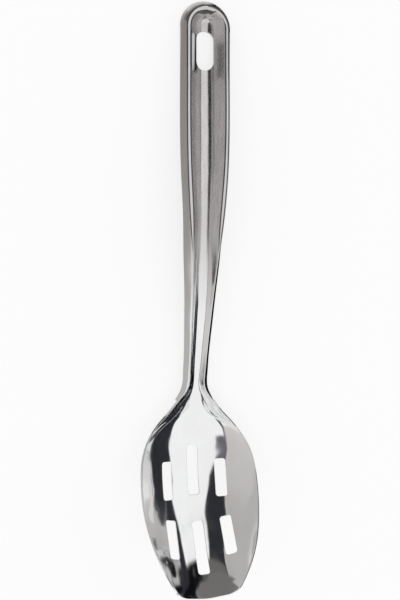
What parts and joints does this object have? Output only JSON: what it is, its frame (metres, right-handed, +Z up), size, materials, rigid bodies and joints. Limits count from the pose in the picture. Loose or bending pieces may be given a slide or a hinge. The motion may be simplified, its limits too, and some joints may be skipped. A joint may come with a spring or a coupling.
{
  "type": "slotted serving spoon",
  "caption": "Slotted serving spoon pressed from polished steel sheet, with a deep bowl, drain slots, a channelled grip and a hanging slot.",
  "frame": {"origin": "on the table, under the middle of the box round the whole spoon", "axes": "+Z up as the spoon lies face up on a table, +Y towards the end of the handle, -Y towards the tip of the bowl, X across, with the plane X = 0 as the mirror plane"},
  "size_m": [0.0734, 0.3458, 0.0575],
  "materials": {
    "polished_steel": "mirror-polished stainless steel with fine polish lines",
    "brushed_steel": "stainless steel, finely polished along its length"
  },
  "bodies": {
    "root": {"bowl": "polished_steel", "neck": "polished_steel", "grip": "brushed_steel", "hanging_end": "brushed_steel"}
  },
  "joints": []
}
